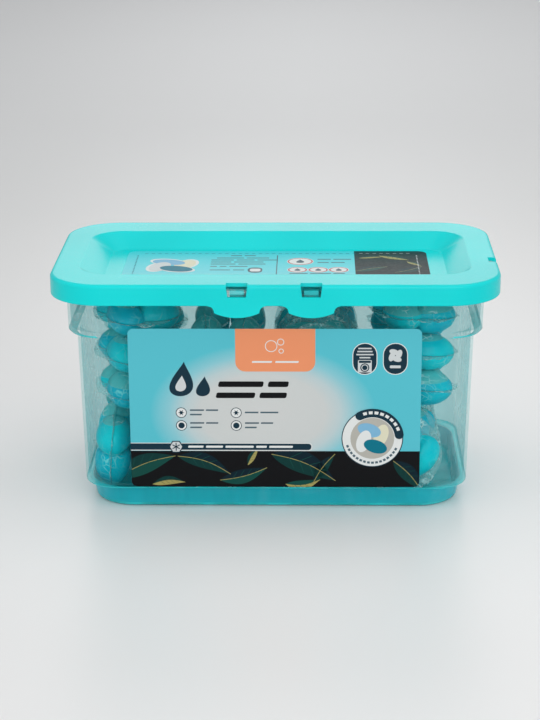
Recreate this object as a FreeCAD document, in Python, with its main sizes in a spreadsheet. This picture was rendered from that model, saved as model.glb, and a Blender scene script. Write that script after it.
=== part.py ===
import FreeCAD, Part
import math
import os
import Sketcher

# Laundry pod tub: a clear tub and a hinged lid, with forty pods that stand and lie in two tiers.
# The origin is on the table under the middle of the tub, the front faces -Y and Z is up.

doc = FreeCAD.newDocument("LaundryPodTub")
sheet = doc.addObject("Spreadsheet::Sheet", "Sizes")

sizes = {
    "Overall": [
        ("overallWidth", 190.0, "over the lid, left to right"),
        ("overallDepth", 108.0, "over the lid, front to back"),
        ("overallHeight", 103.0, "table to the top of the lid"),
    ],
    "Pods": [
        ("podDiameter", 39.0, "flange across"),
        ("podThickness", 15.5, "over both bulges"),
        ("podFlange", 0.8, "flange of sealed film"),
        ("podGap", 0.8, "air between neighbours"),
        ("podRestGap", 0.3, "air under the lower tier"),
        ("chamberLength", 11.6, "half length of a chamber"),
        ("chamberWidth", 8.4, "half width of a chamber"),
        ("chamberOffset", 8.0, "chamber centre from the pod centre"),
        ("chamberSwirl", 52.0, "turn of a chamber about its own centre, degrees"),
        ("podTilt", 2.2, "most that a pod leans out of its block, degrees"),
        ("blockTilt", 7.0, "most that a whole block leans, degrees"),
    ],
    "Tub": [
        ("tubWall", 1.2, "side wall"),
        ("floorThickness", 1.4, "floor"),
        ("sideSlope", 0.024, "side wall lean, mm per mm"),
        ("frontSlope", 0.0155, "front wall lean, mm per mm"),
        ("bodyCorner", 14.5, "corner radius of the body"),
        ("footHeight", 9.5, "foot below the body step"),
        ("footInset", 2.2, "step from body to foot"),
        ("footTaper", 1.5, "foot taper on each side"),
        ("footCorner", 18.0, "corner radius of the foot"),
        ("footEdge", 2.2, "round under the foot"),
        ("bodyEdge", 0.9, "round on the body's lower edge"),
        ("collarStep", 3.6, "step out to the collar at the sides"),
        ("collarDrop", 25.4, "collar ledge below the lid top"),
        ("collarEdge", 0.9, "chamfer on the collar ledge"),
        ("flangeDrop", 4.5, "underside of the rim flange below the lid top"),
        ("flangeThickness", 1.5, "rim flange"),
    ],
    "Lid": [
        ("lidWall", 1.6, "wall of the lid"),
        ("sideOverhang", 6.5, "collar to the outside of the skirt at the sides"),
        ("frontOverhang", 7.95, "collar to the outside of the skirt at front and back"),
        ("lidCorner", 23.0, "corner radius of the skirt"),
        ("skirtDrop", 9.0, "skirt height"),
        ("topEdge", 1.5, "round on the top edge"),
        ("skirtEdge", 0.6, "round on the skirt's lower edge"),
        ("sideRim", 11.6, "flat rim beside the well at the sides"),
        ("frontRim", 17.4, "flat rim beside the well at front and back"),
        ("wellDepth", 6.8, "depth of the sunk label panel"),
        ("wellSideRun", 9.7, "run of the well's slope at the sides"),
        ("wellFrontRun", 7.0, "run of the well's slope at front and back"),
        ("wellCorner", 14.0, "corner radius at the top of the well"),
        ("panelCorner", 7.0, "corner radius of the sunk panel"),
        ("wellEdge", 1.0, "round on the top edge of the well"),
        ("panelEdge", 1.4, "round at the foot of the well's slope"),
        ("wellSpread", 0.5, "the well's shell beyond its cut"),
    ],
    "Latch and tabs": [
        ("latchCentre", 15.4, "window centre from the middle"),
        ("windowTopWidth", 9.2, "window in the top rim"),
        ("windowLowWidth", 7.6, "window at its lower edge"),
        ("windowInset", 3.8, "window into the top rim"),
        ("windowDrop", 5.35, "window's lower edge below the lid top"),
        ("catchWidth", 6.0, "catch"),
        ("catchTopDrop", 3.1, "top of the catch below the lid top"),
        ("catchLowDrop", 6.0, "underside of the catch below the lid top"),
        ("catchChamfer", 1.2, "sloped nose of the catch"),
        ("catchAir", 1.4, "air beside the catch in the flange"),
        ("lidAir", 0.75, "running air inside the skirt"),
        ("tabHalfWidth", 9.4, "half width of a finger tab"),
        ("tabDrop", 5.0, "tab below the skirt"),
        ("tabBulge", 2.1, "sag of the tab's lower edge"),
        ("tabFlare", 2.6, "hollow corner beside a tab"),
        ("tabRoot", 1.0, "root of a tab inside the skirt"),
        ("sideWindowCentre", 12.9, "side window in front of the middle"),
        ("sideWindowLength", 7.0, "side window along the skirt"),
    ],
    "Hinge": [
        ("hingeCentre", 46.0, "hinge from the middle"),
        ("hookWidth", 14.0, "hook of the lid"),
        ("hookRadius", 2.9, "outside of the hook"),
        ("hookMouth", 2.5, "snap mouth of the hook"),
        ("pinRadius", 1.5, "pin of the tub"),
        ("pinAir", 0.3, "running air round the pin"),
        ("axisReach", 3.6, "pin axis behind the collar"),
        ("axisDrop", 3.6, "pin axis below the skirt"),
        ("earRadius", 2.6, "ear of the tub"),
        ("earThickness", 2.4, "ear of the tub"),
        ("earAir", 0.4, "air between ear and hook"),
    ],
    "Labels": [
        ("labelThickness", 0.15, "printed film"),
        ("frontLabelWidth", 123.3, "label on the front wall"),
        ("frontLabelTop", 21.1, "its upper edge below the lid top"),
        ("frontLabelLow", 1.2, "its lower edge above the foot step"),
        ("frontLabelCorner", 2.4, "its corner radius"),
        ("topLabelSideMargin", 7.1, "panel left bare at the sides"),
        ("topLabelFrontMargin", 3.6, "panel left bare at front and back"),
        ("topLabelCorner", 4.0, "its corner radius"),
    ],
}

row = 1
for heading, entries in sizes.items():
    sheet.set(f"A{row}", heading)
    row += 1
    for alias, value, note in entries:
        sheet.set(f"A{row}", note)
        sheet.set(f"B{row}", str(value))
        sheet.setAlias(f"B{row}", alias)
        row += 1
doc.recompute()


def s(alias):
    return f"Sizes.{alias}"


def value(expression):
    return float(sheet.evalExpression(str(expression)))


# Sizes that follow from the driving ones, kept as expressions so that the sketches stay bound to the sheet.
podPitch = f"({s('podDiameter')} + {s('podGap')})"
podCell = f"({s('podThickness')} + {s('podGap')})"
overrun = 1.0

lidWidth, lidDepth, lidTop = s("overallWidth"), s("overallDepth"), s("overallHeight")
panelTop = f"({lidTop} - {s('wellDepth')})"
rimTop = f"({lidTop} - {s('lidWall')})"
skirtLow = f"({lidTop} - {s('skirtDrop')})"
collarLow = f"({lidTop} - {s('collarDrop')})"


def collarWidthAt(level):
    return f"({lidWidth} - 2 * {s('sideOverhang')} - 2 * {s('sideSlope')} * ({rimTop} - {level}))"


def widthAt(level):
    return f"({collarWidthAt(level)} - 2 * {s('collarStep')})"


def depthAt(level):
    return f"({lidDepth} - 2 * {s('frontOverhang')} - 2 * {s('frontSlope')} * ({rimTop} - {level}))"


innerWidth = f"({widthAt(s('footHeight'))} - 2 * {s('tubWall')})"
innerDepth = f"({depthAt(s('footHeight'))} - 2 * {s('tubWall')})"
lowTierBase = f"({s('floorThickness')} + {s('podRestGap')})"
highTierBase = f"({lowTierBase} + {podPitch} - {s('podGap')} / 2)"
wellWidth = f"({lidWidth} - 2 * {s('sideRim')})"
wellDepthAcross = f"({lidDepth} - 2 * {s('frontRim')})"
panelWidth = f"({wellWidth} - 2 * {s('wellSideRun')})"
panelDepth = f"({wellDepthAcross} - 2 * {s('wellFrontRun')})"
flangeWidth = f"({lidWidth} - 2 * {s('lidWall')} - 2 * {s('lidAir')})"
flangeDepth = f"({lidDepth} - 2 * {s('lidWall')} - 2 * {s('lidAir')})"
innerLidCorner = f"({s('lidCorner')} - {s('lidWall')})"
axisY = f"({depthAt(skirtLow)} / 2 + {s('axisReach')})"
axisZ = f"({skirtLow} - {s('axisDrop')})"
hookStart = f"({s('hookWidth')} / 2)"


# Sketch helpers. Each sketch lies on an origin plane of its own body and takes its sizes from the sheet.
def originPlane(body, role):
    return next(item for item in body.Origin.OriginFeatures if item.Role == role)


def newSketch(body, name, role, offset):
    sketch = body.newObject("Sketcher::SketchObject", name)
    sketch.AttachmentSupport = [(originPlane(body, role), "")]
    sketch.MapMode = "FlatFace"
    sketch.setExpression(".AttachmentOffset.Base.z", offset)
    return sketch


def point(x, y):
    return FreeCAD.Vector(x, y, 0)


def bind(sketch, name, constraint, expression):
    index = sketch.addConstraint(constraint)
    sketch.renameConstraint(index, name)
    sketch.setExpression(f"Constraints.{name}", expression)


def outlineSketch(body, name, role, offset, width, depth, corner):
    # A rectangle with round corners, centred on the sketch's origin.
    sketch = newSketch(body, name, role, offset)
    x, y, r = value(width) / 2, value(depth) / 2, value(corner)
    quarter = math.pi / 2
    corners = [(x - r, -y + r, -quarter), (x - r, y - r, 0),
               (-x + r, y - r, quarter), (-x + r, -y + r, 2 * quarter)]
    sides = [((-x + r, -y), (x - r, -y)), ((x, -y + r), (x, y - r)), ((x - r, y), (-x + r, y)),
             ((-x, y - r), (-x, -y + r))]
    for (start, end), (cx, cy, angle) in zip(sides, corners):
        sketch.addGeometry(Part.LineSegment(point(*start), point(*end)))
        circle = Part.Circle(point(cx, cy), FreeCAD.Vector(0, 0, 1), r)
        sketch.addGeometry(Part.ArcOfCircle(circle, angle, angle + quarter))
    for index in range(8):
        sketch.addConstraint(Sketcher.Constraint("Tangent", index, 2, (index + 1) % 8, 1))
    for index, kind in ((0, "Horizontal"), (2, "Vertical"), (4, "Horizontal"), (6, "Vertical")):
        sketch.addConstraint(Sketcher.Constraint(kind, index))
    for index in (3, 5, 7):
        sketch.addConstraint(Sketcher.Constraint("Equal", 1, index))
    sketch.addConstraint(Sketcher.Constraint("Symmetric", 1, 3, 5, 3, -1, 1))
    bind(sketch, "corner", Sketcher.Constraint("Radius", 1, r), corner)
    bind(sketch, "width", Sketcher.Constraint("DistanceX", 6, 1, 2, 1, 2 * x), width)
    bind(sketch, "depth", Sketcher.Constraint("DistanceY", 0, 1, 4, 1, 2 * y), depth)
    return sketch


def polygonSketch(body, name, role, offset, corners):
    # A closed outline of straight lines, each corner placed by its own two expressions.
    sketch = newSketch(body, name, role, offset)
    places = [(value(x), value(y)) for x, y in corners]
    count = len(places)
    for index in range(count):
        start, end = places[index], places[(index + 1) % count]
        sketch.addGeometry(Part.LineSegment(point(*start), point(*end)))
    for index in range(count):
        sketch.addConstraint(Sketcher.Constraint("Coincident", index, 2, (index + 1) % count, 1))
    for index, (x, y) in enumerate(corners):
        bind(sketch, f"x{index}x", Sketcher.Constraint("DistanceX", index, 1, value(x)), x)
        bind(sketch, f"y{index}y", Sketcher.Constraint("DistanceY", index, 1, value(y)), y)
    return sketch


def circleSketch(body, name, role, offset, x, y, radius):
    sketch = newSketch(body, name, role, offset)
    centre = point(value(x), value(y))
    sketch.addGeometry(Part.Circle(centre, FreeCAD.Vector(0, 0, 1), value(radius)))
    bind(sketch, "radius", Sketcher.Constraint("Radius", 0, value(radius)), radius)
    bind(sketch, "centreX", Sketcher.Constraint("DistanceX", 0, 3, value(x)), x)
    bind(sketch, "centreY", Sketcher.Constraint("DistanceY", 0, 3, value(y)), y)
    return sketch


def loft(body, name, kind, lower, upper):
    feature = body.newObject(f"PartDesign::{kind}Loft", name)
    feature.Profile = lower
    feature.Sections = [(upper, [""])]
    feature.Ruled = True
    return feature


def extrude(body, name, kind, sketch, length, backwards=False):
    feature = body.newObject(f"PartDesign::{kind}", name)
    feature.Profile = sketch
    feature.Reversed = backwards
    feature.setExpression("Length", length)
    return feature


def roundEdges(body, name, base, radius, chosen):
    # The edges are chosen by where they lie, once the base has been worked out.
    doc.recompute()
    names = [f"Edge{index + 1}" for index, edge in enumerate(base.Shape.Edges) if chosen(edge.BoundBox)]
    feature = body.newObject("PartDesign::Fillet", name)
    feature.Base = (base, names)
    feature.setExpression("Radius", radius)
    doc.recompute()
    return feature


def flatAt(box, level):
    near = 1e-4
    return abs(box.ZMin - level) < near and abs(box.ZMax - level) < near


# Tub
tub = doc.addObject("PartDesign::Body", "tub")
tub.Label = "tub"
footTopWidth = f"({widthAt(s('footHeight'))} - 2 * {s('footInset')})"
footTopDepth = f"({depthAt(s('footHeight'))} - 2 * {s('footInset')})"
footLowWidth = f"({footTopWidth} - 2 * {s('footTaper')})"
footLowDepth = f"({footTopDepth} - 2 * {s('footTaper')})"


def tubStage(name, kind, lowLevel, highLevel, lowWidth, lowDepth, highWidth, highDepth, corner):
    lower = outlineSketch(tub, f"{name}Low", "XY_Plane", lowLevel, lowWidth, lowDepth, corner)
    upper = outlineSketch(tub, f"{name}High", "XY_Plane", highLevel, highWidth, highDepth, corner)
    return loft(tub, name, kind, lower, upper)


def inside(expression):
    return f"({expression} - 2 * {s('tubWall')})"


def ledge(level):
    # A step of the outside is followed by the inside one wall higher.
    return f"({level} + {s('tubWall')})"


footCorner, bodyCorner = s("footCorner"), s("bodyCorner")
tubStage("foot", "Additive", "0", s("footHeight"), footLowWidth, footLowDepth,
         footTopWidth, footTopDepth, footCorner)
tubStage("bodyShell", "Additive", s("footHeight"), collarLow, widthAt(s("footHeight")),
         depthAt(s("footHeight")), widthAt(collarLow), depthAt(collarLow), bodyCorner)
ledgeTop = f"({collarLow} + {s('collarEdge')})"
ledgeWidth = f"({collarWidthAt(collarLow)} - 2 * {s('collarEdge')})"
tubStage("collarLedge", "Additive", collarLow, ledgeTop, ledgeWidth, depthAt(collarLow),
         collarWidthAt(ledgeTop), depthAt(ledgeTop), bodyCorner)
collar = tubStage("collarShell", "Additive", ledgeTop, rimTop, collarWidthAt(ledgeTop), depthAt(ledgeTop),
                  collarWidthAt(rimTop), depthAt(rimTop), bodyCorner)


def onBodyStep(box):
    beyond = value(s("footInset")) / 2
    wide = max(box.XMax, -box.XMin) > value(footTopWidth) / 2 + beyond
    deep = max(box.YMax, -box.YMin) > value(footTopDepth) / 2 + beyond
    return flatAt(box, value(s("footHeight"))) and (wide or deep)


footRound = roundEdges(tub, "footRound", collar, s("footEdge"), lambda box: flatAt(box, 0.0))
roundEdges(tub, "bodyRound", footRound, s("bodyEdge"), onBodyStep)
flangeLow = f"({lidTop} - {s('flangeDrop')})"
flangeOutline = outlineSketch(tub, "flangeOutline", "XY_Plane", flangeLow, flangeWidth, flangeDepth,
                              f"({innerLidCorner} - {s('lidAir')})")
extrude(tub, "flange", "Pad", flangeOutline, s("flangeThickness"))

notchHalf = f"({s('catchWidth')} / 2 + {s('catchAir')})"
for side, word in ((-1, "left"), (1, "right")):
    middle = f"({side} * {s('latchCentre')})"
    low = f"({flangeLow} - {s('lidAir')})"
    high = f"({flangeLow} + {s('flangeThickness')} + {s('lidAir')})"
    notch = polygonSketch(tub, f"{word}NotchOutline", "XZ_Plane", f"({flangeDepth} / 2 + {overrun})",
                          [(f"{middle} - {notchHalf}", low), (f"{middle} + {notchHalf}", low),
                           (f"{middle} + {notchHalf}", high), (f"{middle} - {notchHalf}", high)])
    extrude(tub, f"{word}Notch", "Pocket", notch, f"({flangeDepth} / 2 + {overrun} - {depthAt(rimTop)} / 2)")

tubStage("footHollow", "Subtractive", s("floorThickness"), ledge(s("footHeight")),
         inside(footLowWidth), inside(footLowDepth), inside(footTopWidth), inside(footTopDepth),
         f"({footCorner} - {s('tubWall')})")
tubStage("bodyHollow", "Subtractive", ledge(s("footHeight")), ledge(ledgeTop),
         inside(widthAt(s("footHeight"))), inside(depthAt(s("footHeight"))),
         inside(widthAt(collarLow)), inside(depthAt(collarLow)), f"({bodyCorner} - {s('tubWall')})")
tubStage("collarHollow", "Subtractive", ledge(ledgeTop), f"({rimTop} + {overrun})",
         inside(collarWidthAt(ledgeTop)), inside(depthAt(ledgeTop)),
         inside(collarWidthAt(rimTop)), inside(depthAt(rimTop)), f"({bodyCorner} - {s('tubWall')})")

# The catches of the tub stand just inside the skirt and show through its two windows.
catchBack = f"(-{depthAt(rimTop)} / 2 + {s('tubWall')} / 2)"
catchFront = f"(-{flangeDepth} / 2)"
catchTop = f"({lidTop} - {s('catchTopDrop')})"
catchLow = f"({lidTop} - {s('catchLowDrop')})"
for side, word in ((-1, "left"), (1, "right")):
    catch = polygonSketch(tub, f"{word}CatchOutline", "YZ_Plane",
                          f"({side} * {s('latchCentre')} - {s('catchWidth')} / 2)",
                          [(catchBack, catchLow), (f"{catchFront} + {s('catchChamfer')}", catchLow),
                           (catchFront, f"{catchLow} + {s('catchChamfer')}"), (catchFront, catchTop),
                           (catchBack, catchTop)])
    extrude(tub, f"{word}Catch", "Pad", catch, s("catchWidth"))

# Each rear hinge has two ears with the pin between them, and the lid's hook turns on the pin.
earBack = f"({depthAt(axisZ)} / 2 - {s('tubWall')} / 2)"
for side, word in ((-1, "left"), (1, "right")):
    middle = f"({side} * {s('hingeCentre')})"
    pinHalf = f"({hookStart} + {s('earAir')} + {s('earThickness')})"
    for start, place in ((f"({middle} - {pinHalf})", "Outer"),
                         (f"({middle} + {hookStart} + {s('earAir')})", "Inner")):
        earLow, earHigh = f"({axisZ} - {s('earRadius')})", f"({axisZ} + {s('earRadius')})"
        web = polygonSketch(tub, f"{word}{place}WebOutline", "YZ_Plane", start,
                            [(earBack, earLow), (axisY, earLow), (axisY, earHigh), (earBack, earHigh)])
        extrude(tub, f"{word}{place}Web", "Pad", web, s("earThickness"))
        nose = circleSketch(tub, f"{word}{place}NoseOutline", "YZ_Plane", start, axisY, axisZ, s("earRadius"))
        extrude(tub, f"{word}{place}Nose", "Pad", nose, s("earThickness"))
    pin = circleSketch(tub, f"{word}PinOutline", "YZ_Plane", f"({middle} - {pinHalf})",
                       axisY, axisZ, s("pinRadius"))
    extrude(tub, f"{word}Pin", "Pad", pin, f"(2 * {pinHalf})")

# Lid
lid = doc.addObject("PartDesign::Body", "lid")
lid.Label = "lid"
skirtOutline = outlineSketch(lid, "skirtOutline", "XY_Plane", skirtLow, lidWidth, lidDepth, s("lidCorner"))
skirt = extrude(lid, "skirt", "Pad", skirtOutline, s("skirtDrop"))
topRound = roundEdges(lid, "topRound", skirt, s("topEdge"), lambda box: flatAt(box, value(lidTop)))
roundEdges(lid, "skirtRound", topRound, s("skirtEdge"), lambda box: flatAt(box, value(skirtLow)))
underside = outlineSketch(lid, "undersideOutline", "XY_Plane", skirtLow, f"({lidWidth} - 2 * {s('lidWall')})",
                          f"({lidDepth} - 2 * {s('lidWall')})", innerLidCorner)
extrude(lid, "underside", "Pocket", underside, f"({s('skirtDrop')} - {s('lidWall')})", True)


def wellStage(name, kind, drop, spread):
    high = outlineSketch(lid, f"{name}High", "XY_Plane", f"({lidTop} - {drop})",
                         f"({wellWidth} + 2 * {spread})", f"({wellDepthAcross} + 2 * {spread})",
                         f"({s('wellCorner')} + {spread})")
    low = outlineSketch(lid, f"{name}Low", "XY_Plane", f"({panelTop} - {drop})",
                        f"({panelWidth} + 2 * {spread})", f"({panelDepth} + 2 * {spread})",
                        f"({s('panelCorner')} + {spread})")
    return loft(lid, name, kind, low, high)


wellStage("wellShell", "Additive", s("lidWall"), s("wellSpread"))
well = wellStage("well", "Subtractive", "0", "0")


def onWell(level):
    def chosen(box):
        reach = value(f"{wellWidth} / 2 + {s('wellSpread')} / 2")
        return flatAt(box, level) and box.XMax < reach and box.XMin > -reach
    return chosen


wellRound = roundEdges(lid, "wellRound", well, s("wellEdge"), onWell(value(lidTop)))
roundEdges(lid, "panelRound", wellRound, s("panelEdge"), onWell(value(panelTop)))

for side, word in ((-1, "left"), (1, "right")):
    middle = f"({side} * {s('latchCentre')})"
    window = polygonSketch(lid, f"{word}WindowOutline", "XZ_Plane", f"({lidDepth} / 2 + {overrun})",
                           [(f"{middle} - {s('windowLowWidth')} / 2", f"{lidTop} - {s('windowDrop')}"),
                            (f"{middle} + {s('windowLowWidth')} / 2", f"{lidTop} - {s('windowDrop')}"),
                            (f"{middle} + {s('windowTopWidth')} / 2", f"{lidTop} + {overrun}"),
                            (f"{middle} - {s('windowTopWidth')} / 2", f"{lidTop} + {overrun}")])
    extrude(lid, f"{word}Window", "Pocket", window, f"({s('windowInset')} + {overrun})")

# The window on the right side runs along Y and wraps over the rim as the front ones do.
sideLow = f"(-{s('sideWindowCentre')} - {s('sideWindowLength')} / 2)"
sideHigh = f"(-{s('sideWindowCentre')} + {s('sideWindowLength')} / 2)"
windowLow, windowHigh = f"({lidTop} - {s('windowDrop')})", f"({lidTop} + {overrun})"
sideWindow = polygonSketch(lid, "sideWindowOutline", "YZ_Plane", f"({lidWidth} / 2 + {overrun})",
                           [(sideLow, windowLow), (sideHigh, windowLow), (sideHigh, windowHigh),
                            (sideLow, windowHigh)])
extrude(lid, "sideWindow", "Pocket", sideWindow, f"({s('windowInset')} + {overrun})")


def tabSketch(word, middle):
    # Hollow corners run down from the skirt into the sides, and a flat arc closes the lower edge.
    sketch = newSketch(lid, f"{word}TabOutline", "XZ_Plane", f"({lidDepth} / 2)")
    cx, half, flare = value(middle), value(s("tabHalfWidth")), value(s("tabFlare"))
    base, sag = value(skirtLow), value(s("tabBulge"))
    low, rise = base - value(s("tabDrop")), value(s("tabRoot"))
    spots = [(cx - half - flare, base + rise), (cx - half - flare, base), (cx - half, base - flare),
             (cx - half, low + sag), (cx + half, low + sag), (cx + half, base - flare),
             (cx + half + flare, base), (cx + half + flare, base + rise)]
    bulgeRadius = (half * half + sag * sag) / (2 * sag)
    tilt = math.asin(half / bulgeRadius)
    down = -math.pi / 2
    arcs = {
        1: (cx - half - flare, base - flare, flare, 0.0, math.pi / 2),
        3: (cx, low + bulgeRadius, bulgeRadius, down - tilt, down + tilt),
        5: (cx + half + flare, base - flare, flare, math.pi / 2, math.pi),
    }
    for index in range(8):
        if index in arcs:
            ax, ay, radius, start, end = arcs[index]
            circle = Part.Circle(point(ax, ay), FreeCAD.Vector(0, 0, 1), radius)
            sketch.addGeometry(Part.ArcOfCircle(circle, start, end))
        else:
            sketch.addGeometry(Part.LineSegment(point(*spots[index]), point(*spots[(index + 1) % 8])))
    startOf = {index: 1 for index in range(8)}
    endOf = {index: 2 for index in range(8)}
    for index in (1, 5):
        startOf[index], endOf[index] = 2, 1
    for index in range(8):
        after = (index + 1) % 8
        sketch.addConstraint(Sketcher.Constraint("Coincident", index, endOf[index], after, startOf[after]))
    wide = f"({s('tabHalfWidth')} + {s('tabFlare')})"
    high = f"({skirtLow} + {s('tabRoot')})"
    curve = f"({skirtLow} - {s('tabFlare')})"
    sagLevel = f"({skirtLow} - {s('tabDrop')} + {s('tabBulge')})"
    levels = [high, skirtLow, curve, sagLevel, sagLevel, curve, skirtLow, high]
    edges = [f"{middle} - {wide}"] * 2 + [f"{middle} - {s('tabHalfWidth')}"] * 2
    edges += [f"{middle} + {s('tabHalfWidth')}"] * 2 + [f"{middle} + {wide}"] * 2
    for index in range(8):
        x, y = edges[index], levels[index]
        bind(sketch, f"x{index}x", Sketcher.Constraint("DistanceX", index, startOf[index], value(x)), x)
        bind(sketch, f"y{index}y", Sketcher.Constraint("DistanceY", index, startOf[index], value(y)), y)
    for index in (1, 5):
        bind(sketch, f"flare{index}", Sketcher.Constraint("Radius", index, flare), s("tabFlare"))
    bulge = f"(({s('tabHalfWidth')} ^ 2 + {s('tabBulge')} ^ 2) / (2 * {s('tabBulge')}))"
    bind(sketch, "bulge", Sketcher.Constraint("Radius", 3, bulgeRadius), bulge)
    return sketch


for side, word in ((-1, "left"), (1, "right")):
    outline = tabSketch(word, f"({side} * {s('latchCentre')})")
    extrude(lid, f"{word}Tab", "Pad", outline, s("lidWall"), True)

webInner = f"({axisY} - {s('hookRadius')})"
webOuter = f"({lidDepth} / 2 - {s('lidWall')} / 2)"
for side, word in ((-1, "left"), (1, "right")):
    start = f"({side} * {s('hingeCentre')} - {hookStart})"
    web = polygonSketch(lid, f"{word}HookWebOutline", "YZ_Plane", start,
                        [(webInner, axisZ), (webOuter, axisZ), (webOuter, f"{skirtLow} + {s('lidWall')}"),
                         (webInner, f"{skirtLow} + {s('lidWall')}")])
    extrude(lid, f"{word}HookWeb", "Pad", web, s("hookWidth"))
    barrel = circleSketch(lid, f"{word}HookOutline", "YZ_Plane", start, axisY, axisZ, s("hookRadius"))
    extrude(lid, f"{word}Hook", "Pad", barrel, s("hookWidth"))
    bore = circleSketch(lid, f"{word}BoreOutline", "YZ_Plane", start, axisY, axisZ,
                        f"({s('pinRadius')} + {s('pinAir')})")
    extrude(lid, f"{word}Bore", "Pocket", bore, s("hookWidth"), True)
    mouthFront, mouthBack = f"({axisY} - {s('hookMouth')} / 2)", f"({axisY} + {s('hookMouth')} / 2)"
    mouthLow = f"({axisZ} - {s('hookRadius')} - {overrun})"
    mouthCorners = [(mouthFront, mouthLow), (mouthBack, mouthLow), (mouthBack, axisZ), (mouthFront, axisZ)]
    mouth = polygonSketch(lid, f"{word}MouthOutline", "YZ_Plane", start, mouthCorners)
    extrude(lid, f"{word}Mouth", "Pocket", mouth, s("hookWidth"), True)

# Labels: printed film, drawn about its own middle and laid against the wall or the panel that carries it.
frontLabel = doc.addObject("PartDesign::Body", "front_label")
frontLabel.Label = "front_label"
labelLow = f"({s('footHeight')} + {s('frontLabelLow')})"
labelHigh = f"({lidTop} - {s('frontLabelTop')})"
labelMiddle = f"(({labelLow} + {labelHigh}) / 2)"
labelHeight = f"({labelHigh} - {labelLow})"
frontFilm = outlineSketch(frontLabel, "frontFilmOutline", "XZ_Plane", "0", s("frontLabelWidth"), labelHeight,
                          s("frontLabelCorner"))
extrude(frontLabel, "frontFilm", "Pad", frontFilm, s("labelThickness"))
frontLabel.Placement.Rotation = FreeCAD.Rotation(FreeCAD.Vector(1, 0, 0), 1)
frontLabel.setExpression(".Placement.Rotation.Angle", f"atan({s('frontSlope')})")
frontLabel.setExpression(".Placement.Base.y", f"-{depthAt(labelMiddle)} / 2")
frontLabel.setExpression(".Placement.Base.z", labelMiddle)

topLabel = doc.addObject("PartDesign::Body", "top_label")
topLabel.Label = "top_label"
topFilm = outlineSketch(topLabel, "topFilmOutline", "XY_Plane", "0",
                        f"({panelWidth} - 2 * {s('topLabelSideMargin')})",
                        f"({panelDepth} - 2 * {s('topLabelFrontMargin')})", s("topLabelCorner"))
extrude(topLabel, "topFilm", "Pad", topFilm, s("labelThickness"))
topLabel.setExpression(".Placement.Base.z", panelTop)

# Pod: a round flange of sealed film with four swirled chambers that meet in the middle.
flange = doc.addObject("Part::Cylinder", "podFlange")
flange.setExpression("Radius", f"{s('podDiameter')} / 2")
flange.setExpression("Height", s("podFlange"))
flange.setExpression(".Placement.Base.z", f"-{s('podFlange')} / 2")
podParts = [flange]
chamberCount = 4
for index in range(chamberCount):
    chamber = doc.addObject("Part::Ellipsoid", f"chamber{index + 1}")
    turn = 360 / chamberCount * index
    chamber.Placement.Rotation = FreeCAD.Rotation(FreeCAD.Vector(0, 0, 1), 1)
    chamber.setExpression("Radius1", f"{s('podThickness')} / 2")
    chamber.setExpression("Radius2", s("chamberLength"))
    chamber.setExpression("Radius3", s("chamberWidth"))
    chamber.setExpression(".Placement.Rotation.Angle", f"{turn} + {s('chamberSwirl')}")
    chamber.setExpression(".Placement.Base.x", f"{s('chamberOffset')} * {math.cos(math.radians(turn)):.6f}")
    chamber.setExpression(".Placement.Base.y", f"{s('chamberOffset')} * {math.sin(math.radians(turn)):.6f}")
    podParts.append(chamber)
podShape = doc.addObject("Part::MultiFuse", "podShape")
podShape.Shapes = podParts
doc.recompute()

# The pods stand or lie in blocks, and each block holds as many as the tub leaves room for.
pitch, cell = value(podPitch), value(podCell)
freeWidth, freeDepth = value(innerWidth), value(innerDepth)
freeHeight = value(f"{panelTop} - {s('lidWall')} - {highTierBase}")
edgewiseColumns = 2
standingColumns = int((freeWidth - edgewiseColumns * cell) / pitch)
deepLayers, deepPairs, flatLayers = int(freeDepth / cell), int(freeDepth / pitch), int(freeHeight / cell)
facingFront = FreeCAD.Rotation(FreeCAD.Vector(1, 0, 0), 90)
facingSide = FreeCAD.Rotation(FreeCAD.Vector(0, 1, 0), 90)
facingUp = FreeCAD.Rotation()


def evenly(count, step):
    return [(index - (count - 1) / 2) * step for index in range(count)]


def standingBlock(left, base):
    return [((left + pitch / 2, y, base + pitch / 2), facingFront) for y in evenly(deepLayers, cell)]


def edgewiseBlock(left, base):
    columns = [left + edgewiseColumns * cell / 2 + x for x in evenly(edgewiseColumns, cell)]
    return [((x, y, base + pitch / 2), facingSide) for x in columns for y in evenly(deepPairs, pitch)]


def flatBlock(left, base):
    heights = [base + cell * (layer + 0.5) for layer in range(flatLayers)]
    return [((left + pitch / 2, y, z), facingUp) for z in heights for y in evenly(deepPairs, pitch)]


def tier(blocks, base, spreadOut):
    # Every pod of a block leans the same way, so that neighbours stay a gap apart.
    wallGap = (freeWidth - sum(width for (block, width), lean in blocks)) / (len(blocks) + 1)
    left, places = wallGap - freeWidth / 2, []
    for (block, width), (lean, leanTurn) in blocks:
        axis = FreeCAD.Vector(math.cos(math.radians(leanTurn)), math.sin(math.radians(leanTurn)), 0)
        blockLean = FreeCAD.Rotation(axis, lean * value(s("blockTilt")))
        places += [(place, facing * blockLean) for place, facing in block(left, base)]
        left += width + (wallGap if spreadOut else 0)
    return places


# Each block is followed by its share of the full lean and by the direction of the lean in degrees.
standing, edgewise, flat = (standingBlock, pitch), (edgewiseBlock, edgewiseColumns * cell), (flatBlock, pitch)
roomToStand = freeHeight > pitch
lowRow = [(standing, (1.0, 10)), (standing, (-0.8, 80)), (standing, (0.9, -25))]
highRow = [(flat, (0.7, 20)), (standing if roomToStand else flat, (1.0, 95)), (flat, (-0.9, -35))]
lowBlocks = [lowRow[index % len(lowRow)] for index in range(standingColumns)]
highBlocks = [highRow[index % len(highRow)] for index in range(standingColumns)]
lowBlocks.insert(0, (edgewise, (0.4, 90)))
if roomToStand:
    highBlocks.insert(1, (edgewise, (-0.6, 60)))
lowTier = tier(lowBlocks, value(lowTierBase), False)
highTier = tier(highBlocks, value(highTierBase), True)

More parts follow.
